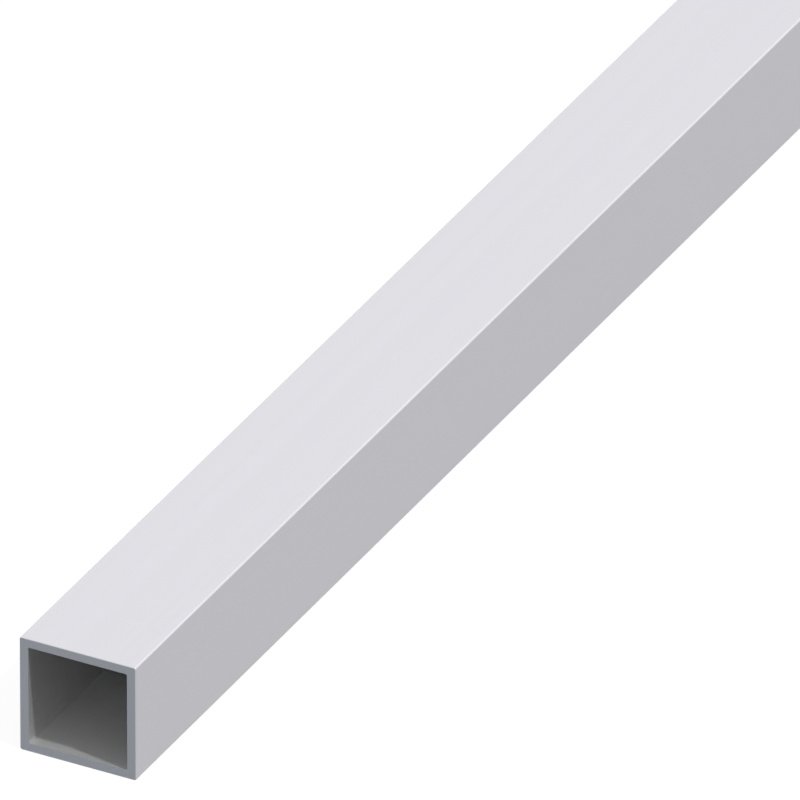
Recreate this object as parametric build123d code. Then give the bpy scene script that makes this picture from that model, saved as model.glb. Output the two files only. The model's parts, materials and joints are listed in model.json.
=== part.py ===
from build123d import *

import os

# Square aluminium tube: one straight bar of extruded stock, sawn to length and deburred.
#
# Millimetres, +Z up. The tube lies on one of its flat sides and runs along Y.
# The origin is the middle of the underside, halfway along the bar.

# Driving dimensions
WIDTH = 20.0  # across the flats, the same both ways
WALL = 1.5
LENGTH = 1000.0
OUTER_RADIUS = 0.35  # on the four long outer corners
INNER_RADIUS = 0.3  # on the four long corners of the bore
END_BREAK = 0.1  # deburring chamfer round the outside of each sawn end: less than OUTER_RADIUS

# Worked out from them
BORE = WIDTH - 2 * WALL
AXIS_HEIGHT = WIDTH / 2
NODE = "square_tube"


def tube_section() -> Sketch:
    """The extruded profile in the XZ plane: a rounded square with a rounded square bore."""
    outside = RectangleRounded(WIDTH, WIDTH, OUTER_RADIUS)
    bore = RectangleRounded(BORE, BORE, INNER_RADIUS)
    section_plane = Plane(origin=(0, 0, AXIS_HEIGHT), x_dir=(1, 0, 0), z_dir=(0, -1, 0))
    return section_plane * (outside - bore)


def outer_end_edges(bar: Part) -> ShapeList:
    """Every edge round the outside of the two sawn end faces. The edges of the bore stay crisp."""
    ends = bar.faces().filter_by(Axis.Y)
    return ShapeList(edge for end in ends for edge in end.outer_wire().edges())


def square_tube() -> Part:
    """The bar, extruded both ways from its middle, with its sawn ends deburred."""
    bar = extrude(tube_section(), amount=LENGTH / 2, both=True)
    return chamfer(outer_end_edges(bar), END_BREAK)


os.makedirs("parts", exist_ok=True)
tube = square_tube()
tube.label = NODE
export_step(tube, f"parts/{NODE}.step")
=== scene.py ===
"""Dresses one length of square aluminium tube and sets it in a pale studio.

Everything is in metres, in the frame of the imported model: the tube runs along Y,
lies on its underside at Z = 0, and its front end faces -Y.
"""

import json
import logging
import math
from dataclasses import dataclass
from enum import Enum
from typing import List, Mapping, Optional, Tuple, Union

import bpy
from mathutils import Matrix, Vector


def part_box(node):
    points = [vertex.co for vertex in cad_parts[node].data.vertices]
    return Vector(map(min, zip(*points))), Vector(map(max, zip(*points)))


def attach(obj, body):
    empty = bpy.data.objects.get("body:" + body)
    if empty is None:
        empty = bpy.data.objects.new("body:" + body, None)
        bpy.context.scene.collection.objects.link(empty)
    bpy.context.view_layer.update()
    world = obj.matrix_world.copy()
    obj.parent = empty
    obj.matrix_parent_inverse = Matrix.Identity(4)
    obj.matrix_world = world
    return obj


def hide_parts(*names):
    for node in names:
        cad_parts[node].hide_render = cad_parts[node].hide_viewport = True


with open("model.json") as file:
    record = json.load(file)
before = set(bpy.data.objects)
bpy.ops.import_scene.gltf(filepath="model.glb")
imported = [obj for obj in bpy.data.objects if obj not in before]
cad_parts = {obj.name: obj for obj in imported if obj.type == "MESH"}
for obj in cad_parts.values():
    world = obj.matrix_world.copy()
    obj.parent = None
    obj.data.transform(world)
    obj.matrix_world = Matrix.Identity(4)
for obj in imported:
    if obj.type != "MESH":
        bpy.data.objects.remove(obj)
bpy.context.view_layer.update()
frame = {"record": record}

LOG = logging.getLogger("square_tube")
NODE = "square_tube"
BODY = "root"
WEAR_AND_HIGHLIGHT = "wear_and_highlight"  # the tube's own attribute: 1 where handling rubs the skin bright and a highlight is painted, mid-way round each long outer corner
UV_MAP = "OFBake"
MM = 0.001
SIDES = 4  # of the square section, with a corner between each two
QUARTER_TURN = math.tau / SIDES

Rgb = Tuple[float, float, float]
Rgba = Tuple[float, float, float, float]
WHITE: Rgba = (1.0, 1.0, 1.0, 1.0)
Value = Union["Field", bpy.types.NodeSocket, float, int, bool, str, tuple]


# --- Node trees ------------------------------------------------------------------------


class Field:
    """A number that a node tree works out at every point, with the usual arithmetic."""

    def __init__(self, graph: "Graph", socket: bpy.types.NodeSocket) -> None:
        """Holds one output socket.

        Args:
            graph: The tree that the socket is in.
            socket: The output that carries the number.
        """
        self.graph = graph
        self.socket = socket

    def __add__(self, other: Value) -> "Field":
        """This number plus another."""
        return self.graph.math("ADD", self, other)

    def __sub__(self, other: Value) -> "Field":
        """This number less another."""
        return self.graph.math("SUBTRACT", self, other)

    def __rsub__(self, other: Value) -> "Field":
        """Another number less this one."""
        return self.graph.math("SUBTRACT", other, self)

    def __mul__(self, other: Value) -> "Field":
        """This number times another."""
        return self.graph.math("MULTIPLY", self, other)

    def __truediv__(self, other: Value) -> "Field":
        """This number over another."""
        return self.graph.math("DIVIDE", self, other)

    def __gt__(self, other: Value) -> "Field":
        """1 where this number is the greater, and otherwise 0."""
        return self.graph.math("GREATER_THAN", self, other)

    def __abs__(self) -> "Field":
        """This number without its sign."""
        return self.graph.math("ABSOLUTE", self)

    __radd__ = __add__


class Graph:
    """Adds nodes to one tree, so that code reads like the formula that it builds."""

    def __init__(self, tree: bpy.types.NodeTree) -> None:
        """Starts from an empty tree.

        Args:
            tree: The geometry, shader or world tree to fill.
        """
        self.tree = tree
        tree.nodes.clear()

    def add(self, kind: str, inputs: Optional[Mapping] = None, **settings: object) -> bpy.types.Node:
        """Adds one node.

        Args:
            kind: The node's type name.
            inputs: What each input gets, by its name or number.
            settings: The node's own settings.

        Returns:
            The new node.
        """
        node = self.tree.nodes.new(kind)
        for name, value in settings.items():
            setattr(node, name, value)
        for key, value in (inputs or {}).items():
            self.feed(node.inputs[key], value)
        return node

    def feed(self, target: bpy.types.NodeSocket, value: Value) -> None:
        """Links a field or socket to an input, or sets the input to a plain value.

        Args:
            target: The input.
            value: What it gets.
        """
        source = value.socket if isinstance(value, Field) else value
        if isinstance(source, bpy.types.NodeSocket):
            self.tree.links.new(source, target)
        else:
            target.default_value = source

    def field(self, socket: bpy.types.NodeSocket) -> Field:
        """An output socket as a field."""
        return Field(self, socket)

    def math(self, operation: str, *values: Value) -> Field:
        """One Math node.

        Args:
            operation: The node's operation.
            values: Its inputs, in order.

        Returns:
            The result.
        """
        node = self.add("ShaderNodeMath", dict(enumerate(values)), operation=operation)
        return self.field(node.outputs[0])

    def vector(self, x: Value, y: Value, z: Value) -> bpy.types.NodeSocket:
        """Three numbers joined into one vector."""
        return self.add("ShaderNodeCombineXYZ", {0: x, 1: y, 2: z}).outputs[0]

    def split(self, vector: bpy.types.NodeSocket) -> Tuple[Field, Field, Field]:
        """A vector's three numbers."""
        x, y, z = self.add("ShaderNodeSeparateXYZ", {0: vector}).outputs
        return self.field(x), self.field(y), self.field(z)

    def blend(self, share: Field, start: Value, end: Value) -> Field:
        """A number between two others at each point.

        Args:
            share: From 0 to 1.
            start: The number where the share is 0.
            end: The number where the share is 1.

        Returns:
            The blended number.
        """
        return share * end + (1 - share) * start

    def seen(self) -> Field:
        """1 for what the camera sees, straight, mirrored or through glass, and 0 for plain lighting."""
        path = self.add("ShaderNodeLightPath").outputs
        straight_or_mirrored = self.math("MAXIMUM", path["Is Camera Ray"], path["Is Glossy Ray"])
        return self.math("MAXIMUM", straight_or_mirrored, path["Is Transmission Ray"])


# --- Finishes --------------------------------------------------------------------------


@dataclass(frozen=True)
class MetalFinish:
    """Aluminium with the marks that its making left."""

    name: str
    colour: Rgb
    metallic: float
    roughness: float
    colour_swing: float  # how far the marks move the colour, as a share of it
    roughness_swing: float
    mark_depth: float  # metres
    mark_spacing: float  # metres

    def marks(self, graph: Graph, place: bpy.types.NodeSocket) -> Field:
        """The pattern of marks, from 0 to 1.

        Args:
            graph: The material's tree.
            place: The point in the tube's own frame.

        Returns:
            The pattern.
        """
        raise NotImplementedError

    def tone(self, graph: Graph, swing: Field) -> Tuple[List[Field], Field]:
        """The colour and the roughness, as the marks move them.

        Args:
            graph: The material's tree.
            swing: The marks, from -1 to 1.

        Returns:
            The colour's three channels, and the roughness.
        """
        shade = 1 + swing * self.colour_swing
        channels = [shade * channel for channel in self.colour]
        return channels, self.roughness + swing * self.roughness_swing

    def brush(self, graph: Graph, shader: bpy.types.Node) -> None:
        """Gives the gloss a direction, where the marks have one. Plain metal has none.

        Args:
            graph: The material's tree.
            shader: The metal's shader.
        """

    def build(self) -> bpy.types.Material:
        """Makes the material.

        Returns:
            The material.
        """
        material = bpy.data.materials.new(self.name)
        material.use_nodes = True
        graph = Graph(material.node_tree)
        place = graph.add("ShaderNodeTexCoord").outputs["Object"]
        marks = self.marks(graph, place)
        channels, roughness = self.tone(graph, (marks - 0.5) * 2)
        bump = graph.add(
            "ShaderNodeBump",
            {"Strength": 1.0, "Distance": self.mark_depth, "Height": marks},
        )
        shader = graph.add(
            "ShaderNodeBsdfPrincipled",
            {
                "Base Color": graph.vector(*channels),
                "Metallic": self.metallic,
                "Roughness": roughness,
                "Normal": bump.outputs["Normal"],
            },
        )
        self.brush(graph, shader)
        graph.add("ShaderNodeOutputMaterial", {"Surface": shader.outputs["BSDF"]})
        return material


@dataclass(frozen=True)
class DieLines(MetalFinish):
    """Metal with the fine lines that an extrusion die draws along the whole length."""

    line_length: float = 0.4  # metres before a line fades into the next
    octaves: float = 4.0  # each is half as wide as the one before
    fineness: float = 0.7  # how strong each is beside the one before
    cross_gloss: float = 0.0  # from 0 to 1: how far the lines spread the gloss to their sides

    def marks(self, graph: Graph, place: bpy.types.NodeSocket) -> Field:
        """Noise that is fine across the tube and very long along it.

        Args:
            graph: The material's tree.
            place: The point in the tube's own frame.

        Returns:
            The pattern, from 0 to 1.
        """
        x, y, z = graph.split(place)
        stretched = graph.vector(x / self.mark_spacing, y / self.line_length, z / self.mark_spacing)
        noise = graph.add(
            "ShaderNodeTexNoise",
            {"Vector": stretched, "Scale": 1.0, "Detail": self.octaves, "Roughness": self.fineness},
        )
        return graph.field(noise.outputs["Fac"])

    def brush(self, graph: Graph, shader: bpy.types.Node) -> None:
        """Spreads the gloss across the lines, which is the way that the UV map's U runs.

        Args:
            graph: The material's tree.
            shader: The metal's shader.
        """
        if not self.cross_gloss:
            return
        across = graph.add("ShaderNodeTangent", direction_type="UV_MAP", uv_map=UV_MAP)
        graph.feed(shader.inputs["Anisotropic"], self.cross_gloss)
        graph.feed(shader.inputs["Tangent"], across.outputs["Tangent"])


@dataclass(frozen=True)
class SatinSkin(DieLines):
    """The outside, whose satin handling rubs to bright metal along the four long corners, where a
    highlight is painted too.
    """

    # Partly bare metal and partly a painted highlight: lighter and bluer than the satin.
    wear_and_highlight_colour: Rgb = (0.800, 0.796, 0.830)
    bright_roughness: float = 0.25

    def tone(self, graph: Graph, swing: Field) -> Tuple[List[Field], Field]:
        """The satin's colour and roughness, blended into bright metal with a painted highlight where
        handling rubs it.

        Args:
            graph: The material's tree.
            swing: The marks, from -1 to 1.

        Returns:
            The colour's three channels, and the roughness.
        """
        satin, roughness = super().tone(graph, swing)
        wear_and_highlight = graph.field(graph.add("ShaderNodeAttribute", attribute_name=WEAR_AND_HIGHLIGHT).outputs["Fac"])
        pairs = zip(satin, self.wear_and_highlight_colour)
        channels = [graph.blend(wear_and_highlight, channel, bright) for channel, bright in pairs]
        return channels, graph.blend(wear_and_highlight, roughness, self.bright_roughness)


@dataclass(frozen=True)
class SawMarks(MetalFinish):
    """Metal cut by a circular saw, whose teeth leave shallow arcs."""

    blade_radius: float = 0.125  # metres
    blade_bearing: float = math.radians(140)  # where the blade's centre stands, from +X towards +Z
    wander: float = 0.6  # how unevenly the arcs are spaced, in arcs
    wander_reach: float = 4.0  # how far one uneven stretch reaches, in arcs

    def marks(self, graph: Graph, place: bpy.types.NodeSocket) -> Field:
        """Arcs about the centre of the blade, which stands beside the tube and above it.

        Args:
            graph: The material's tree.
            place: The point in the tube's own frame.

        Returns:
            The pattern, from 0 to 1.
        """
        x, _, z = graph.split(place)
        across = x - self.blade_radius * math.cos(self.blade_bearing)
        up = z - self.blade_radius * math.sin(self.blade_bearing)
        distance = graph.math("SQRT", across * across + up * up)
        scale = 1 / (self.wander_reach * self.mark_spacing)
        noise = graph.add("ShaderNodeTexNoise", {"Vector": place, "Scale": scale})
        turns = distance / self.mark_spacing + graph.field(noise.outputs["Fac"]) * self.wander
        return graph.math("SINE", turns * math.tau) * 0.5 + 0.5


@dataclass(frozen=True)
class PaleFloor:
    """A plain pale floor that shows white, and keeps the tube's shadow."""

    bounce: float = 0.12  # the share of light that it sends back onto the tube
    shadow: float = 0.16  # how much of its white comes from the lamps, and so can be shaded
    glow: float = 0.87  # how much of its white is always there

    def build(self) -> bpy.types.Material:
        """Makes the material.

        Returns:
            The material.
        """
        material = bpy.data.materials.new("pale_floor")
        material.use_nodes = True
        graph = Graph(material.node_tree)
        seen = graph.seen()
        lit = graph.blend(seen, self.bounce, self.shadow)
        matt = graph.add("ShaderNodeBsdfDiffuse", {"Color": graph.vector(lit, lit, lit)})
        glow = graph.add("ShaderNodeEmission", {"Strength": seen * self.glow})
        both = graph.add("ShaderNodeAddShader", {0: matt.outputs[0], 1: glow.outputs[0]})
        graph.add("ShaderNodeOutputMaterial", {"Surface": both.outputs[0]})
        return material


SKIN = SatinSkin(
    name="satin_skin",
    colour=(0.665, 0.660, 0.699),
    metallic=0.25,
    roughness=0.45,
    colour_swing=0.03,
    roughness_swing=0.08,
    mark_depth=0.004 * MM,
    mark_spacing=1.5 * MM,
)
SAWN_SHADED = SawMarks(
    name="sawn_metal_painted_shade",
    # Darker than the skin by painted shade: the key lamp barely reaches the end.
    colour=(0.413, 0.440, 0.493),
    metallic=0.25,
    roughness=0.50,
    colour_swing=0.03,
    roughness_swing=0.06,
    mark_depth=0.003 * MM,
    mark_spacing=0.45 * MM,
)
BORE = DieLines(
    name="bore_metal",
    colour=(0.664, 0.668, 0.669),
    metallic=0.50,
    roughness=0.42,
    colour_swing=0.06,
    roughness_swing=0.10,
    mark_depth=0.006 * MM,
    mark_spacing=2.0 * MM,
    cross_gloss=0.8,
)


# --- The tube --------------------------------------------------------------------------


class Zone(Enum):
    """The parts of the surface that have a finish of their own."""

    SKIN = "Skin"
    SAWN_END = "Sawn End"
    BORE = "Bore"


FINISHES: Mapping[Zone, MetalFinish] = {Zone.SKIN: SKIN, Zone.SAWN_END: SAWN_SHADED, Zone.BORE: BORE}


@dataclass(frozen=True)
class TubeSizes:
    """The tube's sizes in metres."""

    width: float
    wall: float
    length: float
    outer_radius: float = 0.35 * MM
    inner_radius: float = 0.3 * MM
    end_break: float = 0.1 * MM

    @classmethod
    def from_frame(cls) -> "TubeSizes":
        """Reads the width and length off the CAD node, and the wall off the front end's mount.

        Returns:
            The sizes.
        """
        low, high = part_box(NODE)
        mounts = {mount["name"]: mount for mount in frame["record"]["mounts"]}
        middle_of_wall = mounts["front_end"]["pos_m"][2]
        return cls(width=high.x - low.x, wall=2 * (high.z - middle_of_wall), length=high.y - low.y)


@dataclass
class TubeTree:
    """The geometry tree of a square tube: a wall profile swept round a rounded square."""

    corner_points: int = 11  # round each of the long corners
    ring_spacing: float = 25 * MM  # along the tube
    sharp_angle: float = math.radians(30)
    sawn_slope: float = 0.9  # a face whose normal lies more nearly along the tube than this is sawn

    def build(self) -> bpy.types.NodeTree:
        """Builds the tree with a named input for each size and finish.

        Returns:
            The tree.
        """
        tree = bpy.data.node_groups.new("square_tube", "GeometryNodeTree")
        numbers = ("Width", "Wall", "Length", "Outer Radius", "Inner Radius", "End Break", "Ring Spacing")
        for name in numbers:
            tree.interface.new_socket(name, in_out="INPUT", socket_type="NodeSocketFloat")
        tree.interface.new_socket("Corner Points", in_out="INPUT", socket_type="NodeSocketInt")
        for zone in Zone:
            tree.interface.new_socket(zone.value, in_out="INPUT", socket_type="NodeSocketMaterial")
        tree.interface.new_socket("Geometry", in_out="OUTPUT", socket_type="NodeSocketGeometry")
        graph = Graph(tree)
        given = graph.add("NodeGroupInput").outputs
        sizes = {name: graph.field(given[name]) for name in given.keys() if name}
        mesh, across = self.swept_wall(graph, sizes)
        mesh = self.shaded(graph, mesh)
        mesh = self.dressed(graph, mesh, across, given)
        graph.add("NodeGroupOutput", {0: mesh})
        return tree

    def swept_wall(self, graph: Graph, sizes: Mapping[str, Field]) -> Tuple[bpy.types.NodeSocket, Field]:
        """Sweeps the wall's long profile round the square, corner by corner.

        Args:
            graph: The tree.
            sizes: Its number inputs, by name.

        Returns:
            The mesh, and how far each point is outside the middle of the wall.
        """
        profile = self.wall_profile(graph, sizes)
        kept = graph.add("GeometryNodeCaptureAttribute", {"Geometry": profile}, domain="POINT")
        kept.capture_items.new("VECTOR", "Place")
        graph.feed(kept.inputs["Place"], graph.add("GeometryNodeInputPosition").outputs[0])

        count = sizes["Corner Points"] * SIDES
        circle = graph.add("GeometryNodeCurvePrimitiveCircle", {"Resolution": count}, mode="RADIUS")
        numbered = graph.add(
            "GeometryNodeCaptureAttribute", {"Geometry": circle.outputs[0]}, domain="POINT"
        )
        numbered.capture_items.new("INT", "Step")
        graph.feed(numbered.inputs["Step"], graph.add("GeometryNodeInputIndex").outputs[0])

        swept = graph.add(
            "GeometryNodeCurveToMesh",
            {"Curve": kept.outputs["Geometry"], "Profile Curve": numbered.outputs["Geometry"]},
        )
        along, across, _ = graph.split(kept.outputs["Place"])
        step = graph.field(numbered.outputs["Step"])
        points = sizes["Corner Points"]
        corner = graph.math("FLOOR", step / points)
        turn = graph.math("MODULO", step, points) / (points - 1)
        x, z = self.section_point(graph, sizes, across, corner, turn)
        place = graph.vector(x, along, z + sizes["Width"] / 2)
        placed = graph.add("GeometryNodeSetPosition", {"Geometry": swept.outputs[0], "Position": place})
        # Wear and painted highlight: strongest mid-way round each long outer corner, nothing in the bore.
        over_corner = graph.math("SINE", turn * math.pi)
        wear_and_highlight = over_corner * over_corner * (across > 0)
        marked = graph.add(
            "GeometryNodeStoreNamedAttribute",
            {"Geometry": placed.outputs[0], "Name": WEAR_AND_HIGHLIGHT, "Value": wear_and_highlight},
            data_type="FLOAT",
            domain="POINT",
        )
        return marked.outputs[0], across

    def wall_profile(self, graph: Graph, sizes: Mapping[str, Field]) -> bpy.types.NodeSocket:
        """The wall seen from the side, with its outer end breaks, and rings to divide its length.

        Args:
            graph: The tree.
            sizes: Its number inputs, by name.

        Returns:
            A closed curve, with the tube's length along X and the wall along Y.
        """
        strip = graph.add(
            "GeometryNodeCurvePrimitiveQuadrilateral",
            {"Width": sizes["Length"], "Height": sizes["Wall"]},
            mode="RECTANGLE",
        )
        position = graph.add("GeometryNodeInputPosition").outputs[0]
        _, outward, _ = graph.split(position)
        broken = graph.add(
            "GeometryNodeFilletCurve",
            {"Curve": strip.outputs[0], "Radius": sizes["End Break"] * (outward > 0)},
            mode="POLY",
        )
        corners = graph.add(
            "GeometryNodeAttributeDomainSize", {"Geometry": broken.outputs[0]}, component="CURVE"
        )
        index = graph.field(graph.add("GeometryNodeInputIndex").outputs[0])
        following = graph.add(
            "GeometryNodeFieldAtIndex",
            {"Index": graph.math("MODULO", index + 1, graph.field(corners.outputs["Point Count"]))},
            data_type="FLOAT_VECTOR",
            domain="POINT",
        )
        graph.feed(following.inputs["Value"], position)
        run = graph.add(
            "ShaderNodeVectorMath", {0: following.outputs[0], 1: position}, operation="DISTANCE"
        )
        cuts = graph.math("FLOOR", graph.field(run.outputs["Value"]) / sizes["Ring Spacing"])
        divided = graph.add("GeometryNodeSubdivideCurve", {"Curve": broken.outputs[0], "Cuts": cuts})
        return divided.outputs[0]

    @staticmethod
    def section_point(
        graph: Graph, sizes: Mapping[str, Field], across: Field, corner: Field, turn: Field
    ) -> Tuple[Field, Field]:
        """Where a point lies in the square section, about the tube's axis.

        Args:
            graph: The tree.
            sizes: Its number inputs, by name.
            across: How far the point is outside the middle of the wall.
            corner: The number of the corner that it is at.
            turn: How far round that corner it is, from 0 to 1.

        Returns:
            X and Z from the axis.
        """
        half_outside = sizes["Width"] / 2
        half_inside = half_outside - sizes["Wall"]
        half = (half_outside + half_inside) / 2 + across
        radius_outside = sizes["Outer Radius"] - (half_outside - half)
        radius_inside = sizes["Inner Radius"] + (half - half_inside)
        radius = graph.blend(across > 0, radius_inside, radius_outside)
        angle = (corner + turn) * QUARTER_TURN
        diagonal = (corner + 0.5) * QUARTER_TURN
        flat = half - radius
        side_x = graph.math("SIGN", graph.math("COSINE", diagonal))
        side_z = graph.math("SIGN", graph.math("SINE", diagonal))
        x = flat * side_x + radius * graph.math("COSINE", angle)
        z = flat * side_z + radius * graph.math("SINE", angle)
        return x, z

    def shaded(self, graph: Graph, mesh: bpy.types.NodeSocket) -> bpy.types.NodeSocket:
        """Smooths the long corners, and keeps the end breaks crisp.

        Args:
            graph: The tree.
            mesh: The tube.

        Returns:
            The mesh.
        """
        smooth = graph.add("GeometryNodeSetShadeSmooth", {"Geometry": mesh}, domain="FACE")
        angle = graph.field(graph.add("GeometryNodeInputMeshEdgeAngle").outputs["Unsigned Angle"])
        sharp = angle > self.sharp_angle
        crisp = graph.add(
            "GeometryNodeSetShadeSmooth",
            {"Geometry": smooth.outputs[0], "Selection": sharp, "Shade Smooth": False},
            domain="EDGE",
        )
        return crisp.outputs[0]

    def dressed(
        self, graph: Graph, mesh: bpy.types.NodeSocket, across: Field, given: bpy.types.NodeOutputs
    ) -> bpy.types.NodeSocket:
        """Realizes the mesh and gives each zone its finish. The end breaks take that of the side.

        Args:
            graph: The tree.
            mesh: The tube.
            across: How far each point is outside the middle of the wall.
            given: The sockets that carry the tree's inputs.

        Returns:
            The mesh.
        """
        real = graph.add("GeometryNodeRealizeInstances", {"Geometry": mesh}).outputs[0]
        normal = graph.add("GeometryNodeInputNormal").outputs["Normal"]
        _, facing, _ = graph.split(normal)
        inside = 1 - (across > 0)
        sawn = abs(facing) > self.sawn_slope
        choices = ((Zone.SKIN, True), (Zone.BORE, inside), (Zone.SAWN_END, sawn))
        for zone, selection in choices:
            inputs = {"Geometry": real, "Selection": selection, "Material": given[zone.value]}
            real = graph.add("GeometryNodeSetMaterial", inputs).outputs[0]
        return real


@dataclass
class BakeMap:
    """The tube's own UV map: each side is a long strip, and each end is a square above them."""

    name: str = UV_MAP
    strips_top: float = 0.80  # the strips fill the map up to here
    end_side: float = 0.17  # of each end's square
    end_gap: float = 0.02  # round each end's square
    end_slope: float = 0.3  # a face whose normal lies more nearly along the tube than this is at an end
    strips: int = 2 * SIDES  # the sides' outer faces, and then their inner faces
    gap: float = 0.006  # round each strip

    def lay(self, mesh: bpy.types.Mesh, sizes: TubeSizes) -> None:
        """Writes the map.

        Args:
            mesh: The tube's mesh.
            sizes: The tube's sizes.
        """
        layer = mesh.uv_layers.new(name=self.name)
        for polygon in mesh.polygons:
            for loop in polygon.loop_indices:
                point = mesh.vertices[mesh.loops[loop].vertex_index].co
                layer.data[loop].uv = self.place(point, polygon, sizes)

    def place(
        self, point: Vector, polygon: bpy.types.MeshPolygon, sizes: TubeSizes
    ) -> Tuple[float, float]:
        """Where one corner of a face goes.

        Args:
            point: The corner.
            polygon: The face.
            sizes: The tube's sizes.

        Returns:
            U and V.
        """
        half = sizes.width / 2
        x = point.x / half
        z = (point.z - half) / half
        normal, centre = polygon.normal, polygon.center
        if abs(normal.y) > self.end_slope:
            column = int(normal.y > 0)
            left = self.gap + column * (self.end_side + self.end_gap)
            bottom = self.strips_top + self.end_gap
            return left + (x + 1) / 2 * self.end_side, bottom + (z + 1) / 2 * self.end_side
        on_side = abs(normal.x) > abs(normal.z)
        offset = centre.x if on_side else centre.z - half
        inside = max(abs(centre.x), abs(centre.z - half)) < half - sizes.wall / 2
        side = 2 * on_side + (offset > 0)  # a number from 0 to 3
        strip = SIDES * inside + side
        share = ((z if on_side else x) + 1) / 2
        width = 1 / self.strips
        u = strip * width + self.gap + share * (width - 2 * self.gap)
        v = (point.y / sizes.length + 0.5) * (self.strips_top - 2 * self.gap) + self.gap
        return u, v


@dataclass
class SquareTube:
    """One length of square aluminium tube."""

    sizes: TubeSizes
    tree: TubeTree

    def build(self) -> bpy.types.Object:
        """Makes the tube's mesh, and dresses it.

        Returns:
            The tube.
        """
        piece = bpy.data.objects.new("tube", bpy.data.meshes.new("tube"))
        bpy.context.scene.collection.objects.link(piece)
        nodes = piece.modifiers.new("tube", "NODES")
        nodes.node_group = self.tree.build()
        self.set_inputs(nodes)
        weights = piece.modifiers.new("corner_shading", "WEIGHTED_NORMAL")
        weights.keep_sharp = True
        evaluated = piece.evaluated_get(bpy.context.evaluated_depsgraph_get())
        mesh = bpy.data.meshes.new_from_object(evaluated)
        piece.modifiers.clear()
        piece.data = mesh
        mesh.name = "tube"
        BakeMap().lay(mesh, self.sizes)
        return piece

    def set_inputs(self, nodes: bpy.types.NodesModifier) -> None:
        """Gives the geometry tree its sizes and finishes.

        Args:
            nodes: The tube's geometry modifier.
        """
        values = {
            "Width": self.sizes.width,
            "Wall": self.sizes.wall,
            "Length": self.sizes.length,
            "Outer Radius": self.sizes.outer_radius,
            "Inner Radius": self.sizes.inner_radius,
            "End Break": self.sizes.end_break,
            "Ring Spacing": self.tree.ring_spacing,
            "Corner Points": self.tree.corner_points,
        }
        values.update({zone.value: finish.build() for zone, finish in FINISHES.items()})
        for item in nodes.node_group.interface.items_tree:
            if item.in_out == "INPUT":
                nodes[item.identifier] = values[item.name]


# --- The studio ------------------------------------------------------------------------


@dataclass(frozen=True)
class StudioLamp:
    """One directional lamp."""

    name: str
    travel: Tuple[float, float, float]  # the way its light goes
    strength: float
    spread: float  # how wide the lamp looks from the tube, which softens its shadows

    def build(self) -> None:
        """Adds the lamp."""
        data = bpy.data.lights.new(self.name, "SUN")
        data.energy = self.strength
        data.angle = self.spread
        lamp = bpy.data.objects.new(self.name, data)
        lamp.rotation_mode = "QUATERNION"
        lamp.rotation_quaternion = Vector(self.travel).to_track_quat("-Z", "Y")
        bpy.context.scene.collection.objects.link(lamp)


# The key comes down over the right side. The fill lights the front end, and the bore's floor behind it.
KEY_LAMP = StudioLamp(
    name="key",
    travel=(-5.83, 1.0, -8.83),
    strength=1.39,
    spread=math.radians(2.5),
)
FRONT_FILL = StudioLamp(
    name="front_fill",
    travel=(0.0, 1.0, -0.60),
    strength=0.32,
    spread=math.radians(30),
)


@dataclass(frozen=True)
class SoftSky:
    """Soft light from above and the right, and plain white for what looks at it or reflects it."""

    colour: Rgba = WHITE
    seen_strength: float = 1.0  # at which white shows as white
    zenith: float = 1.185
    falloff: float = 1.53  # how fast it dims from the zenith down to the horizon
    right: float = 0.20  # what it adds straight to the right, and less and less away from there

    def build(self) -> None:
        """Makes the world."""
        world = bpy.data.worlds.new("studio")
        bpy.context.scene.world = world
        world.use_nodes = True
        graph = Graph(world.node_tree)
        direction = graph.add("ShaderNodeTexCoord").outputs["Generated"]
        rightward, _, upward = graph.split(direction)
        above = graph.math("POWER", graph.math("MAXIMUM", upward, 0.0), self.falloff) * self.zenith
        light = above + graph.math("MAXIMUM", rightward, 0.0) * self.right
        strength = graph.blend(graph.seen(), light, self.seen_strength)
        sky = graph.add("ShaderNodeBackground", {"Color": self.colour, "Strength": strength})
        graph.add("ShaderNodeOutputWorld", {"Surface": sky.outputs[0]})


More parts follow.
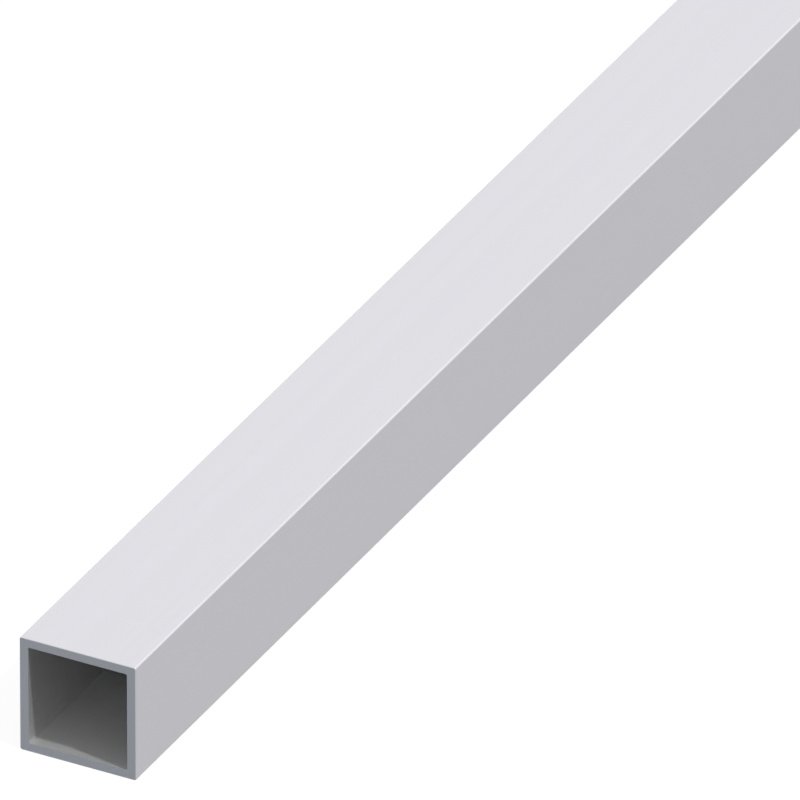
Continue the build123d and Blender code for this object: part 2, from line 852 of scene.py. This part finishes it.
@dataclass(frozen=True)
class LongLensCamera:
    """A camera far off with a long lens, so that parallel edges stay very nearly parallel."""

    azimuth: float = math.radians(27.726)
    elevation: float = math.radians(30.853)
    lens: float = 1600.0  # millimetres
    sensor: float = 36.0  # millimetres across
    distance: float = 5.4739  # metres
    clip_ratio: float = 10.0  # how many times nearer or farther than the tube is still in view
    behind_front_end: float = 100 * MM  # the point looked at, along the tube from its front end
    aim_right: float = 2.40 * MM
    aim_up: float = 1.49 * MM

    def build(self, sizes: TubeSizes) -> None:
        """Adds the camera and makes it the scene's.

        Args:
            sizes: The tube's sizes.
        """
        back = Vector(
            (
                math.sin(self.azimuth) * math.cos(self.elevation),
                -math.cos(self.azimuth) * math.cos(self.elevation),
                math.sin(self.elevation),
            )
        )
        right = Vector((math.cos(self.azimuth), math.sin(self.azimuth), 0.0))
        up = back.cross(right)
        on_axis = Vector((0.0, self.behind_front_end - sizes.length / 2, sizes.width / 2))
        aim = on_axis + right * self.aim_right + up * self.aim_up
        data = bpy.data.cameras.new("camera")
        data.lens = self.lens
        data.sensor_width = self.sensor
        data.clip_start = self.distance / self.clip_ratio
        data.clip_end = self.distance * self.clip_ratio
        camera = bpy.data.objects.new("camera", data)
        camera.location = aim + back * self.distance
        camera.rotation_mode = "QUATERNION"
        camera.rotation_quaternion = (-back).to_track_quat("-Z", "Y")
        bpy.context.scene.collection.objects.link(camera)
        bpy.context.scene.camera = camera


@dataclass(frozen=True)
class Floor:
    """The level floor that the tube lies on."""

    reach: float = 40.0  # metres each way

    def build(self) -> bpy.types.Object:
        """Adds the floor.

        Returns:
            The floor.
        """
        far = self.reach
        corners = [(-far, -far, 0.0), (far, -far, 0.0), (far, far, 0.0), (-far, far, 0.0)]
        mesh = bpy.data.meshes.new("floor")
        mesh.from_pydata(corners, [], [(0, 1, 2, 3)])
        mesh.materials.append(PaleFloor().build())
        floor = bpy.data.objects.new("floor", mesh)
        bpy.context.scene.collection.objects.link(floor)
        return floor


def main() -> None:
    """Builds the tube and the studio, and reports each piece."""
    logging.basicConfig(level=logging.INFO, format="%(name)s: %(message)s")
    bpy.context.scene.view_settings.view_transform = "Standard"
    sizes = TubeSizes.from_frame()
    tube = SquareTube(sizes, TubeTree()).build()
    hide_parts(NODE)
    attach(tube, BODY)
    LOG.info("%s: %d faces, wall %.2f mm", tube.name, len(tube.data.polygons), sizes.wall / MM)
    Floor().build()
    for lamp in (KEY_LAMP, FRONT_FILL):
        lamp.build()
    SoftSky().build()
    LongLensCamera().build(sizes)
    LOG.info("studio: floor, two lamps, sky and camera")


if __name__ == "__main__":
    main()
